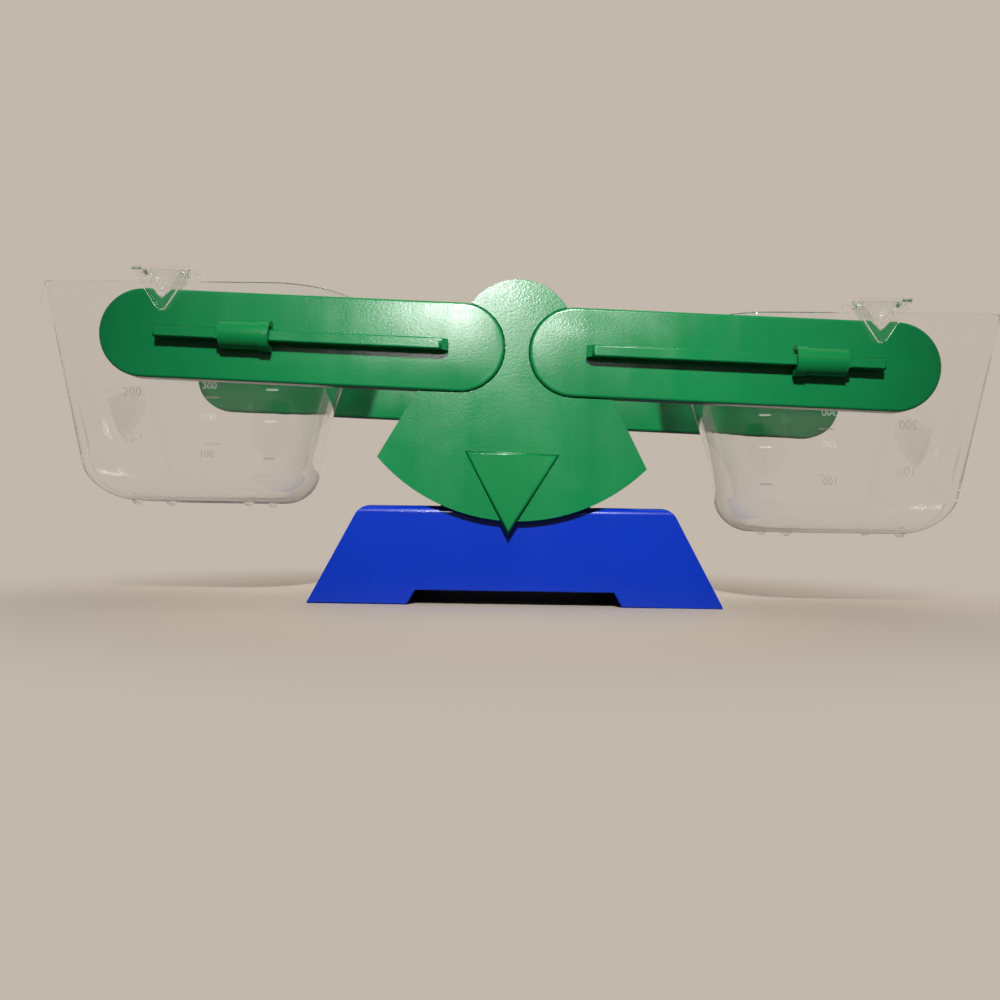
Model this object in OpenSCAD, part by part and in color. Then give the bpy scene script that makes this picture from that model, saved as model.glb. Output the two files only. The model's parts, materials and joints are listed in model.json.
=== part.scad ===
// Bucket balance: a two-armed beam that rocks on a stand, with two measuring buckets hung from its arms.
// The beam is two hub halves with four arms, joined by a steel axle that runs in the tower of the stand.
// A slider on the rail of each arm is moved in or out to bring the empty beam level.
// Millimetres. +Z is up, +X runs along the beam, the front faces -Y, and the origin is on the table
// under the pivot.

/* [Pose] */
// Tilt of the beam at rest, right side down, in degrees
beam_tilt = 2; // [-3:0.5:3]
// Tilt at which the beam meets its stops, in degrees each way
tilt_limit = 8; // [6:0.5:9]
// Distance from the pivot to the middle of the front left slider
front_left_slider_x = 92; // [40:0.5:104]
// Distance from the pivot to the middle of the front right slider
front_right_slider_x = 101.5; // [40:0.5:104]
// Distance from the pivot to the middle of the rear left slider
rear_left_slider_x = 60; // [40:0.5:104]
// Distance from the pivot to the middle of the rear right slider
rear_right_slider_x = 88.9; // [40:0.5:112]

/* [Stand] */
// Height of the pivot above the table
pivot_z = 90.5; // [86:0.5:98]
// Length of the base at the table
base_l = 140.5; // [125:0.5:150]
// Length of the base at its flat top
base_top_l = 105; // [90:1:112]
// Depth of the base from front to back
base_d = 100; // [90:1:110]
// Height of the base
base_h = 33.5; // [28:0.5:36]
// Wall of the base and its tower
base_wall = 2.2; // [1.6:0.1:2.8]
// Radius of the upper corners of the base, seen from the front
base_corner_r = 6; // [3:0.5:9]
// Radius along the front and rear edges of the flat top
base_edge_r = 2.5; // [1:0.25:4]
// Width of the foot relief at the table
relief_w = 72; // [50:1:80]
// Height of the foot relief
relief_h = 5; // [3:0.5:8]
// Depth of the tower that carries the axle
tower_d = 48; // [40:1:54]
// Width of the neck at the top of the tower
neck_w = 32; // [26:1:33]
// Thickness of the two tower walls that carry the axle
bearing_t = 4; // [3:0.5:6]
// Diameter of the axle
axle_dia = 5; // [4:0.25:6]

/* [Cap] */
// Outer radius of the arched cap
cap_r = 20.5; // [19.5:0.25:22]
// Thickness of the cap
cap_t = 2; // [1.5:0.25:3]
// Overhang of the cap past the tower at each end
cap_overhang = 1; // [0.5:0.25:1.5]
// Reach of the lip along each lower edge of the cap
cap_lip = 3.2; // [2:0.2:4]

/* [Hub] */
// Radius of the round head of the hub
head_r = 19.3; // [18.5:0.1:21]
// Radius of the curved lower edge of the hub, from the pivot
fan_r = 62; // [56:0.5:66]
// Angle of the hub's side edges from the vertical
side_angle = 28.6; // [26:0.2:32]
// Thickness of the hub's face plate
plate_t = 2; // [1.6:0.1:3]
// Thickness of the hub's side walls
hub_wall = 2; // [1.6:0.1:2.6]
// Width of the pointer along its top edge
pointer_w = 31.5; // [24:0.5:36]
// Distance from the pivot to the top edge of the pointer
pointer_top_r = 39; // [36:0.5:44]
// Distance from the pivot to the tip of the pointer
pointer_tip_r = 66.8; // [63:0.2:72]
// Thickness of the pointer in front of the face plate
pointer_t = 1.4; // [1:0.1:2.5]

/* [Arms] */
// Distance from the pivot to the outer tip of an arm
arm_reach = 141; // [134:0.5:150]
// Distance from the pivot to the inner tip of an arm
arm_inner = 4.2; // [3:0.1:7]
// Height of an arm
arm_h = 30; // [27:0.5:32]
// Thickness of an arm
arm_t = 6.6; // [5:0.2:8]
// Height by which an arm stands in front of the face plate
arm_proud = 1.2; // [0.6:0.1:2]
// Drop of the arm's centre line below the pivot
arm_drop = 4.5; // [3:0.25:6]
// Rounding of the arm's edges
arm_edge_r = 1; // [0.5:0.1:1.5]
// Distance from the pivot to the notch that holds a bucket
notch_reach = 120; // [115:0.5:124]
// Depth of the notch
notch_depth = 3.6; // [3:0.1:5]
// Angle of each side of the notch from the vertical
notch_angle = 45; // [45:0.5:50]

/* [Rail and sliders] */
// Distance from the pivot to the inner end of the rail
rail_in = 23; // [18:0.5:30]
// Distance from the pivot to the outer end of the rail
rail_out = 121; // [112:0.5:124]
// Height of the rail's head
rail_h = 3.8; // [3:0.1:4.4]
// Reach of the rail in front of the arm
rail_reach = 4.6; // [4:0.1:6]
// Thickness of the rail's head, front to back
rail_head_t = 2.4; // [1.8:0.1:3]
// Height of the web that joins the rail to the arm
rail_web_h = 1.8; // [1.2:0.1:2.2]
// Length of a slider's body along its rail
slider_l = 13.3; // [10:0.1:16]
// Length of the collar at a slider's inner end
collar_l = 3.4; // [2:0.1:5]
// Height by which the collar stands above the slider's body
collar_rise = 0.4; // [0.2:0.1:0.8]
// Outer radius of a slider
slider_r = 4.75; // [4.2:0.05:5.5]
// Wall of a slider
slider_wall = 1.4; // [0.9:0.1:1.5]

/* [Buckets] */
// Height of a bucket from its floor to its rim
bucket_h = 75.7; // [65:0.1:80]
// Height of the hook's axis above the bucket's floor
bucket_hang = 69.7; // [62:0.1:71]
// Wall of a bucket
bucket_wall = 1.5; // [1.2:0.1:2.2]
// Depth of the bucket's floor from front to back, before its edge is rounded
bucket_floor_d = 80; // [70:1:88]
// Reach of the rim from the hook towards the hub
rim_in = 62.4; // [56:0.1:68]
// Reach of the rim from the hook to its outer corners
rim_out = 46.6; // [38:0.1:50]
// Reach of the floor from the hook towards the hub
floor_in = 40.9; // [36:0.1:48]
// Reach of the floor from the hook away from the hub
floor_out = 31.1; // [24:0.1:36]
// Reach of the pouring spout beyond the outer corners
spout_reach = 20.5; // [10:0.5:24]
// Rounding where the walls turn into the floor
bucket_floor_r = 13; // [8:0.5:16]
// Radius of the round bottom of a hook
hook_r = 1.6; // [1.5:0.1:2]
// Angle of each side of a hook from the vertical
hook_angle = 35; // [30:0.5:35]
// Height of a hook's top flange above its axis
hook_top = 8.5; // [7:0.1:10]
// Length of the hook's top flange along the beam
flange_l = 19.5; // [16:0.5:24]
// Thickness of the hook's walls, flange and tab
hook_t = 1.4; // [1:0.1:1.5]
// Drop of the tab in front of the arm below the hook's axis
tab_drop = 6.3; // [4:0.1:7]
// Radius of the tab's round bottom
tab_r = 2; // [1.5:0.1:3]
// Radius of each small foot under a bucket
foot_r = 2.2; // [1.5:0.1:3]

/* [Clearances] */
// Radial clearance of the axle in the tower
axle_clear = 0.05; // [0.02:0.01:0.1]
// Gap left at the tilt stops
stop_gap = 0.3; // [0.2:0.05:0.6]
// Gap between the hub and what it passes at the tower and cap
hub_gap = 0.4; // [0.3:0.05:0.8]
// Gap between the base and the face plates that hang in front of and behind it
plate_gap = 1.1; // [0.6:0.1:1.6]
// Gap round an arm where it sits in the face plate
pocket_gap = 0.25; // [0.15:0.05:0.4]
// Gap between a slider and its rail
slider_gap = 0.3; // [0.2:0.05:0.4]
// Gap between a hook and the sides of its notch
hook_gap = 0.12; // [0.05:0.01:0.3]
// Gap between an arm and the tab in front of it
tab_gap = 0.6; // [0.3:0.05:1]
// Gap between a bucket's rim and the arms beside it
bucket_gap = 1.7; // [1:0.1:3]
// Gap round the tongues that keep the axle down
tongue_gap = 0.2; // [0.1:0.05:0.3]

/* [Hidden] */
$fn = 64;

// Colours of the mouldings
green = [0.09, 0.50, 0.27];
leaf_green = [0.07, 0.54, 0.27];
blue = [0.05, 0.20, 0.70];
yellow = [1.0, 0.78, 0.12];
clear = [0.88, 0.92, 0.94, 0.45];
steel = [0.72, 0.73, 0.75];

// Overrun of every cut past the face it starts from
over = 2;

// Half depths from the mid-plane, from the base outwards
base_front = base_d / 2;
plate_back = base_front + plate_gap;
plate_front = plate_back + plate_t;
arm_front = plate_front + arm_proud;
arm_back = arm_front - arm_t;
seat_t = plate_t;
seat_back = arm_back - seat_t;
tower_front = tower_d / 2;
cap_front = tower_front + cap_overhang;
drum_back = cap_front + hub_gap;
boss_back = tower_front + hub_gap;

// Stand: the tower's shoulders lie level with the lower edge of the arms, and its width sets the stops
shoulder_drop = arm_drop + arm_h / 2 + hub_gap;
hub_inner_r = head_r - hub_wall;
wall_top_x = (hub_inner_r + shoulder_drop * sin(side_angle)) / cos(side_angle);
tower_half_w = wall_top_x * cos(tilt_limit) - shoulder_drop * sin(tilt_limit) - stop_gap;
tower_base_drop = pivot_z - base_h;
cap_inner_r = cap_r - cap_t;
cap_drop = sqrt(cap_inner_r * cap_inner_r - neck_w * neck_w / 4);
slot_w = axle_dia + 2 * axle_clear;
relief_top_w = relief_w - relief_h;
end_slope = (base_l - base_top_l) / 2 / base_h;

// Hub: boss for the axle, and how far the axle is let into it
boss_r = axle_dia;
axle_half_l = seat_back - plate_t;

// Arms: the two pegs at the back of an arm, as shares of its end radius
peg_dia_share = 0.13;
peg_dia = peg_dia_share * arm_h;
peg_shares = [[-0.5, 0], [0, -0.5]];
arm_end_r = arm_h / 2;
arm_top = arm_end_r - arm_drop;
rail_chamfer = rail_head_t;
pointer_peg_dia = 2 * pointer_t;
pointer_peg_share = 0.25;

// Hook: its axis lies where its round bottom rests on both sides of the notch
hook_rise = (hook_r + hook_gap) / sin(notch_angle);
hook_axis_z = arm_top - notch_depth + hook_rise;
tab_back = arm_front + tab_gap;
tab_front = tab_back + hook_t;
flange_z = hook_top - hook_t;
tab_rise = flange_z + tab_drop - tab_r;
tab_angle = acos(tab_r / norm([flange_l / 2, tab_rise])) - atan2(tab_rise, flange_l / 2);

// Bucket: shares that shape its walls, and the places of its feet and ribs
rim_d = 2 * (arm_back - bucket_gap);
inner_flare_share = 1.9;
spout_flare_share = 1.6;
inner_round_share = 0.66;
corner_round_share = 0.12;
inner_square_share = 0.84;
spout_nose_share = 0.22;
feet_in_share = 0.5;
feet_out_share = 0.68;
feet_y_share = 0.44;
rib_w_share = 0.9;
rib_t_share = 0.8;
rib_w = rib_w_share * flange_l;
rib_t = rib_t_share * bucket_wall;
rib_drop = 17;
wall_lean = atan((rim_d - bucket_floor_d) / 2 / bucket_h);
end_steps = 8;
corner_steps = 4;
nose_steps = 3;
floor_steps = 4;
wall_steps = 5;

// Carries what is drawn about the level pivot to the beam's place at rest
module in_beam() {
    translate([0, 0, pivot_z])
        rotate([0, beam_tilt, 0])
            children();
}

// Hangs a bucket, drawn about its hook's axis, level under the right or the left arms
module hung(side) {
    swing = side * notch_reach;
    translate([
        swing * cos(beam_tilt) + hook_axis_z * sin(beam_tilt),
        0,
        pivot_z - swing * sin(beam_tilt) + hook_axis_z * cos(beam_tilt)
    ])
        children();
}

// Turns a piece of the front into its twin at the back
module at_rear() {
    rotate([0, 0, 180])
        children();
}

// Raises a front-view outline between two depths, both counted towards the front
module front_prism(front, back) {
    translate([0, -back, 0])
        rotate([90, 0, 0])
            linear_extrude(front - back)
                children();
}

// Round bar along Y between two depths, both counted towards the front
module front_rod(r, front, back) {
    front_prism(front, back)
        circle(r);
}

// Rectangle with its top corners rounded, standing on y = 0; the foot may be longer than the top
module round_topped(foot_l, top_l, h, r) {
    lean = atan((foot_l - top_l) / 2 / h);
    reach = r * tan((90 - lean) / 2);
    side_x = top_l / 2 + reach * sin(lean);
    for (side = [-1, 1])
        translate([side * (top_l / 2 - reach), h - r])
            circle(r);
    polygon([
        [-foot_l / 2, 0],
        [foot_l / 2, 0],
        [side_x, h - reach * cos(lean)],
        [top_l / 2 - reach, h],
        [reach - top_l / 2, h],
        [-side_x, h - reach * cos(lean)]
    ]);
}

// Outside of the base: its front view met by its side view, so that all top edges are round
module base_form() {
    intersection() {
        front_prism(base_front, -base_front)
            round_topped(base_l, base_top_l, base_h, base_corner_r);
        rotate([90, 0, 90])
            translate([0, 0, -base_l / 2])
                linear_extrude(base_l)
                    round_topped(base_d, base_d, base_h, base_edge_r);
    }
}

// Hollow of the base, open at the table
module base_hollow() {
    slope_wall = base_wall * sqrt(1 + end_slope * end_slope);
    hollow_h = base_h - base_wall;
    foot_half = base_l / 2 - slope_wall;
    front_prism(base_front - base_wall, base_wall - base_front)
        polygon([
            [-foot_half - over * end_slope, -over],
            [foot_half + over * end_slope, -over],
            [foot_half - hollow_h * end_slope, hollow_h],
            [hollow_h * end_slope - foot_half, hollow_h]
        ]);
}

// Front view of the tower about the pivot: broad foot, shoulders, and a neck with an arched top
module tower_outline(half_w, neck_half, drop) {
    translate([-half_w, -tower_base_drop - base_wall])
        square([2 * half_w, tower_base_drop + base_wall - drop]);
    translate([-neck_half, -drop - base_wall])
        square([2 * neck_half, drop + base_wall + cap_drop]);
}

// Stand: hollow base with the tower that carries the axle
module base_shell() {
    color(blue)
        difference() {
            union() {
                base_form();
                translate([0, 0, pivot_z])
                    front_prism(tower_front, -tower_front) {
                        tower_outline(tower_half_w, neck_w / 2, shoulder_drop);
                        intersection() {
                            circle(cap_inner_r);
                            translate([-neck_w / 2, 0])
                                square([neck_w, cap_r]);
                        }
                    }
            }
            base_hollow();
            translate([0, 0, pivot_z])
                tower_hollow();
            front_prism(base_front + over, -base_front - over)
                polygon([
                    [-relief_w / 2 - over, -over],
                    [relief_w / 2 + over, -over],
                    [relief_w / 2, 0],
                    [relief_top_w / 2, relief_h],
                    [-relief_top_w / 2, relief_h],
                    [-relief_w / 2, 0]
                ]);
        }
}

// Hollow of the tower, open at the top, and the two slots that the axle drops into
module tower_hollow() {
    hollow_half_w = tower_half_w - base_wall;
    hollow_neck = neck_w / 2 - base_wall;
    hollow_front = tower_front - bearing_t;
    front_prism(hollow_front, -hollow_front) {
        translate([-hollow_half_w, -tower_base_drop - base_wall - over])
            square([2 * hollow_half_w, tower_base_drop + over - shoulder_drop]);
        translate([-hollow_neck, -shoulder_drop - base_wall - over])
            square([2 * hollow_neck, shoulder_drop + base_wall + cap_r + over]);
    }
    front_prism(tower_front + over, -tower_front - over) {
        circle(slot_w / 2);
        translate([-slot_w / 2, 0])
            square([slot_w, cap_r]);
    }
}

// Arched cap on the tower, with a lip along both lower edges and a tongue over each end of the axle
module bearing_cap() {
    tongue_w = slot_w - 2 * tongue_gap;
    tongue_front = tower_front - tongue_gap;
    tongue_back = tower_front - bearing_t + tongue_gap;
    tongue_foot = axle_dia / 2 + tongue_gap;
    arch_x = sqrt(cap_r * cap_r - cap_drop * cap_drop);
    color(yellow)
        translate([0, 0, pivot_z]) {
            front_prism(cap_front, -cap_front)
                intersection() {
                    difference() {
                        circle(cap_r);
                        circle(cap_inner_r);
                    }
                    translate([-cap_r, cap_drop])
                        square([2 * cap_r, cap_r]);
                }
            front_prism(cap_front, -cap_front)
                for (side = [0, 1])
                    mirror([side, 0])
                        translate([neck_w / 2, cap_drop])
                            square([arch_x + cap_lip - neck_w / 2, cap_t]);
            for (turn = [0, 180])
                rotate([0, 0, turn])
                    front_prism(tongue_front, tongue_back)
                        translate([-tongue_w / 2, tongue_foot])
                            square([tongue_w, cap_inner_r + cap_t / 2 - tongue_foot]);
        }
}

// Steel rod that joins the two hub halves and runs in the tower's slots
module pivot_axle() {
    color(steel)
        in_beam()
            front_rod(axle_dia / 2, axle_half_l, -axle_half_l);
}

// Front view of the hub: a round head whose side edges run straight down to the curved lower edge
module hub_outline(head, fan) {
    edge = sqrt(fan * fan - head * head);
    touch = [head * cos(side_angle), head * sin(side_angle)];
    corner = [touch[0] + edge * sin(side_angle), touch[1] - edge * cos(side_angle)];
    circle(head);
    intersection() {
        circle(fan);
        polygon([
            [-touch[0], touch[1]],
            touch,
            corner,
            [corner[0], -fan - over],
            [-corner[0], -fan - over],
            [-corner[0], corner[1]]
        ]);
    }
}

// Front view of the hub's walls: the head and both side edges, open along the lower edge
module hub_walls() {
    difference() {
        hub_outline(head_r, fan_r);
        hub_outline(hub_inner_r, fan_r + over);
    }
}

// Front view of an arm with a margin all round
module arm_outline(margin) {
    for (x = [arm_inner + arm_end_r, arm_reach - arm_end_r])
        translate([x, -arm_drop])
            circle(arm_end_r + margin);
    translate([arm_inner + arm_end_r, -arm_drop - arm_end_r - margin])
        square([arm_reach - arm_inner - arm_h, arm_h + 2 * margin]);
}

// Draws a front-view outline for both arms of one side
module both_arms() {
    children();
    mirror([1, 0])
        children();
}

// Places a round peg outline at each peg of an arm
module at_arm_pegs() {
    for (peg = peg_shares)
        translate([arm_inner + arm_end_r + peg[0] * arm_end_r, peg[1] * arm_end_r - arm_drop])
            circle(peg_dia / 2);
}

// Places a round peg outline at each peg of the pointer
module at_pointer_pegs() {
    for (side = [-1, 1])
        translate([side * pointer_peg_share * pointer_w, -pointer_top_r - pointer_peg_dia])
            circle(pointer_peg_dia / 2);
}

// Front half of the hub: face plate, walls, seats for both arms and the boss for the axle
module hub_half() {
    difference() {
        union() {
            front_prism(plate_front, plate_back)
                hub_outline(head_r, fan_r);
            front_prism(plate_back, drum_back)
                intersection() {
                    hub_walls();
                    translate([-fan_r, -shoulder_drop])
                        square([2 * fan_r, shoulder_drop + fan_r]);
                }
            front_prism(plate_back, 0)
                intersection() {
                    hub_walls();
                    translate([-fan_r, -shoulder_drop - fan_r])
                        square([2 * fan_r, fan_r]);
                }
            front_prism(plate_back, seat_back)
                intersection() {
                    hub_outline(head_r, fan_r);
                    union() {
                        circle(head_r);
                        both_arms()
                            arm_outline(pocket_gap + hub_wall);
                    }
                }
            front_rod(boss_r, plate_back, boss_back);
        }
        front_prism(plate_front + over, arm_back)
            both_arms()
                arm_outline(pocket_gap);
        front_prism(plate_front, seat_back - over)
            both_arms()
                at_arm_pegs();
        front_prism(plate_front + over, plate_back - over)
            at_pointer_pegs();
        front_rod(axle_dia / 2, axle_half_l, boss_back - over);
    }
}

module front_hub() {
    color(green)
        in_beam()
            hub_half();
}

module rear_hub() {
    color(green)
        in_beam()
            at_rear()
                hub_half();
}

// Raised triangle that points at the stand, with two pegs into the face plate
module pointer() {
    front_prism(plate_front + pointer_t, plate_front)
        polygon([
            [-pointer_w / 2, -pointer_top_r],
            [pointer_w / 2, -pointer_top_r],
            [0, -pointer_tip_r]
        ]);
    front_prism(plate_front, plate_back)
        at_pointer_pegs();
}

module front_pointer() {
    color(leaf_green)
        in_beam()
            pointer();
}

module rear_pointer() {
    color(leaf_green)
        in_beam()
            at_rear()
                pointer();
}

// Half of an arm's cross-section from its centre line, with both outer edges round
module arm_half_section(half_h) {
    for (y = [arm_edge_r, arm_t - arm_edge_r])
        translate([half_h - arm_edge_r, y])
            circle(arm_edge_r);
    square([half_h - arm_edge_r, arm_t]);
    translate([0, arm_edge_r])
        square([half_h, arm_t - 2 * arm_edge_r]);
}

// Right-hand arm of the front: round-ended bar with a rail, a bucket notch and two pegs
module arm() {
    difference() {
        union() {
            for (x = [arm_inner + arm_end_r, arm_reach - arm_end_r])
                translate([x, -arm_back, -arm_drop])
                    rotate([90, 0, 0])
                        rotate_extrude()
                            arm_half_section(arm_end_r);
            for (side = [0, 1])
                translate([arm_inner + arm_end_r, -arm_back, -arm_drop])
                    mirror([0, 0, side])
                        rotate([90, 0, 90])
                            linear_extrude(arm_reach - arm_inner - arm_h)
                                rotate(90)
                                    arm_half_section(arm_end_r);
        }
        front_prism(arm_front + over, arm_back - over)
            translate([notch_reach, arm_top - notch_depth])
                polygon([
                    [0, 0],
                    [(notch_depth + over) * tan(notch_angle), notch_depth + over],
                    [-(notch_depth + over) * tan(notch_angle), notch_depth + over]
                ]);
    }
    rail();
    front_prism(arm_back, seat_back)
        at_arm_pegs();
}

// Rail along the arm's centre line: a web and a broader head, sloped at its inner end
module rail() {
    web_front = arm_front + rail_reach - rail_head_t;
    rail_front = arm_front + rail_reach;
    translate([0, 0, -arm_drop]) {
        translate([rail_in + rail_chamfer, -web_front, -rail_web_h / 2])
            cube([rail_out - rail_in - rail_chamfer, rail_reach - rail_head_t + arm_edge_r, rail_web_h]);
        translate([0, 0, -rail_h / 2])
            linear_extrude(rail_h)
                polygon([
                    [rail_in, -web_front],
                    [rail_out, -web_front],
                    [rail_out, -rail_front],
                    [rail_in + rail_chamfer, -rail_front]
                ]);
    }
}

module front_right_arm() {
    color(green)
        in_beam()
            arm();
}

module front_left_arm() {
    color(green)
        in_beam()
            mirror([1, 0, 0])
                arm();
}

module rear_left_arm() {
    color(green)
        in_beam()
            at_rear()
                arm();
}

module rear_right_arm() {
    color(green)
        in_beam()
            at_rear()
                mirror([1, 0, 0])
                    arm();
}

// Cross-section of a slider about its rail: an open ring with two lips behind the rail's head
module slider_section(r) {
    back = arm_front + slider_gap;
    lip_front = arm_front + rail_reach - rail_head_t - slider_gap;
    centre = arm_front + rail_reach / 2;
    slot_h = rail_web_h + 2 * slider_gap;
    difference() {
        translate([-centre, 0])
            circle(r);
        intersection() {
            translate([-centre, 0])
                circle(r - slider_wall);
            translate([-centre - r, -r])
                square([centre + r - lip_front, 2 * r]);
        }
        translate([-back, -r])
            square([r, 2 * r]);
        translate([-lip_front - over, -slot_h / 2])
            square([r + over, slot_h]);
    }
}

// Slider on the rail of the front, its body centred at a distance along the beam, with a collar inwards
module slider(x) {
    translate([x - slider_l / 2, 0, -arm_drop])
        rotate([90, 0, 90]) {
            linear_extrude(slider_l)
                slider_section(slider_r);
            translate([0, 0, -collar_l])
                linear_extrude(collar_l)
                    slider_section(slider_r + collar_rise);
        }
}

module front_right_slider() {
    color(leaf_green)
        in_beam()
            slider(front_right_slider_x);
}

module front_left_slider() {
    color(leaf_green)
        in_beam()
            mirror([1, 0, 0])
                slider(front_left_slider_x);
}

module rear_left_slider() {
    color(leaf_green)
        in_beam()
            at_rear()
                slider(rear_left_slider_x);
}

module rear_right_slider() {
    color(leaf_green)
        in_beam()
            at_rear()
                mirror([1, 0, 0])
                    slider(rear_right_slider_x);
}

// Walls of the bucket at a height above its floor, given as a share of its height
function wall_in(s) = -floor_in - (rim_in - floor_in) * pow(s, inner_flare_share);
function wall_out(s) = floor_out + (rim_out - floor_out) * s;
function wall_half(s) = bucket_floor_d / 2 + (rim_d - bucket_floor_d) / 2 * s;
function wall_tip(s) = wall_out(s) + spout_reach * pow(s, spout_flare_share);

// One side of the bucket's plan, from the middle of the inner end to the spout's nose: a squared-off
// round end, a straight side, a round corner and a straight run to the nose
function plan_side(in, out, tip, half) =
    let (
        end_r = inner_round_share * half,
        corner_r = corner_round_share * half,
        nose = spout_nose_share * half,
        lean = atan((tip - out) / (half - corner_r - nose / 2))
    )
    concat(
        [for (i = [1:end_steps])
            let (a = 90 * i / end_steps)
            [in + end_r * (1 - pow(cos(a), inner_square_share)), half * pow(sin(a), inner_square_share)]],
        [for (i = [0:corner_steps])
            let (a = 90 - (90 - lean) * i / corner_steps)
            [out - corner_r + corner_r * cos(a), half - corner_r + corner_r * sin(a)]],
        [for (i = [0:nose_steps - 1])
            let (v = nose * (1 - i / nose_steps))
            [tip - tan(lean) * v * v / nose / 2, v]]
    );

// Full plan of the bucket, drawn in by an inset, as a ring of points at a height
function plan_ring(z, inset) =
    let (
        s = z / bucket_h,
        in = wall_in(s) + inset,
        tip = wall_tip(s) - inset,
        side = plan_side(in, wall_out(s) - inset, tip, wall_half(s) - inset),
        count = len(side)
    )
    concat(
        [[in, 0, z]],
        [for (p = side) [p[0], p[1], z]],
        [[tip, 0, z]],
        [for (i = [1:count]) [side[count - i][0], -side[count - i][1], z]]
    );

// Rings of one skin of the bucket from its floor to its rim, drawn in by the wall for the inner skin
function skin_rings(inset, r) = concat(
    [for (i = [0:floor_steps])
        let (a = 90 * i / floor_steps)
        plan_ring(inset + r * (1 - cos(a)), inset + r * (1 - sin(a)))],
    [for (i = [1:wall_steps])
        plan_ring(inset + r + (bucket_h - inset - r) * i / wall_steps, inset)]
);

// Closed shell through a stack of rings that climbs to one ring and then comes down inside, with a flat
// cap at both ends; each four-sided patch is split along the diagonal that keeps the two sides alike
module lofted(rings, top) {
    count = len(rings[0]);
    last = len(rings) - 1;
    sides = [for (j = [0:last - 1])
        for (i = [0:count - 1])
            let (
                a = j * count + i,
                b = j * count + (i + 1) % count
            )
            each (i < count / 2) == (j < top) ?
                [[a, b, a + count], [b, b + count, a + count]] :
                [[a, b, b + count], [a, b + count, a + count]]];
    caps = [
        [for (i = [1:count]) count - i],
        [for (i = [0:count - 1]) last * count + i]
    ];
    polyhedron([for (ring = rings) each ring], concat(sides, caps));
}

// Shell of the bucket, standing on z = 0 under its hook's axis: up the outer skin and down the inner one
module bucket_shell() {
    outer = skin_rings(0, bucket_floor_r);
    inner = skin_rings(bucket_wall, bucket_floor_r - bucket_wall);
    count = len(inner);
    lofted(concat(outer, [for (i = [1:count]) inner[count - i]]), count);
}

// Front view of a V about the centre of its round bottom, with sides at an angle, up to a height
module v_outline(r, angle, top) {
    foot = [r * cos(angle), -r * sin(angle)];
    rise = top - foot[1];
    circle(r);
    polygon([
        [-foot[0] - rise * tan(angle), top],
        [-foot[0], foot[1]],
        foot,
        [foot[0] + rise * tan(angle), top]
    ]);
}

// Hook on the front wall of a bucket: a hollow V that rests in the notch, with a web against the wall,
// under a flat flange that carries a V-shaped tab in front of the arm
module hook() {
    wall_y = rim_d / 2 - bucket_wall;
    web_front = rim_d / 2 + bucket_gap / 2;
    front_prism(tab_back, wall_y)
        difference() {
            v_outline(hook_r, hook_angle, flange_z);
            v_outline(hook_r - hook_t, hook_angle, hook_top);
        }
    front_prism(web_front, wall_y)
        v_outline(hook_r, hook_angle, flange_z);
    front_prism(tab_front, tab_back)
        translate([0, tab_r - tab_drop])
            v_outline(tab_r, tab_angle, tab_rise);
    translate([-flange_l / 2, -tab_front, flange_z])
        cube([flange_l, tab_front - wall_y, hook_t]);
}

// Raised U on the outside of the wall under a hook
module wall_rib() {
    rib_foot = -rib_drop + rib_w / 2;
    rib_top = bucket_h - bucket_hang - bucket_wall;
    foot_share = (bucket_hang - rib_drop) / bucket_h;
    translate([0, -wall_half(foot_share), -rib_drop])
        rotate([wall_lean, 0, 0])
            translate([0, 0, rib_drop])
                front_prism(rib_t / 2, -bucket_wall / 2)
                    difference() {
                        rib_outline(rib_w, rib_foot, rib_top);
                        rib_outline(rib_w - 2 * rib_t, rib_foot, rib_top + over);
                    }
}

// Filled U with a round foot
module rib_outline(w, foot, top) {
    translate([0, foot])
        circle(w / 2);
    translate([-w / 2, foot])
        square([w, top - foot]);
}

// Measuring bucket about its hook's axis, with its spout towards +X
module bucket() {
    translate([0, 0, -bucket_hang]) {
        bucket_shell();
        for (x = [-feet_in_share * floor_in, feet_out_share * floor_out], side = [-1, 1])
            translate([x, side * feet_y_share * bucket_floor_d / 2, bucket_wall / 2])
                sphere(foot_r);
    }
    for (side = [0, 1])
        mirror([0, side, 0]) {
            hook();
            wall_rib();
        }
}

module right_bucket() {
    color(clear)
        hung(1)
            bucket();
}

module left_bucket() {
    color(clear)
        hung(-1)
            at_rear()
                bucket();
}

base_shell();
bearing_cap();
pivot_axle();
front_hub();
rear_hub();
front_pointer();
rear_pointer();
front_left_arm();
front_right_arm();
rear_left_arm();
rear_right_arm();
front_left_slider();
front_right_slider();
rear_left_slider();
rear_right_slider();
left_bucket();
right_bucket();
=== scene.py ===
"""Looks of a plastic bucket balance: a green beam on a blue stand, with two clear measuring buckets.

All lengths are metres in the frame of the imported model: +X along the beam, +Z up, the front towards -Y.
A bucket is drawn about the axis of its hook, with its spout towards +X, and then hung on the beam.
"""
import json
import math

import bmesh
import bpy
import numpy as np
from mathutils import Matrix, Vector


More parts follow.
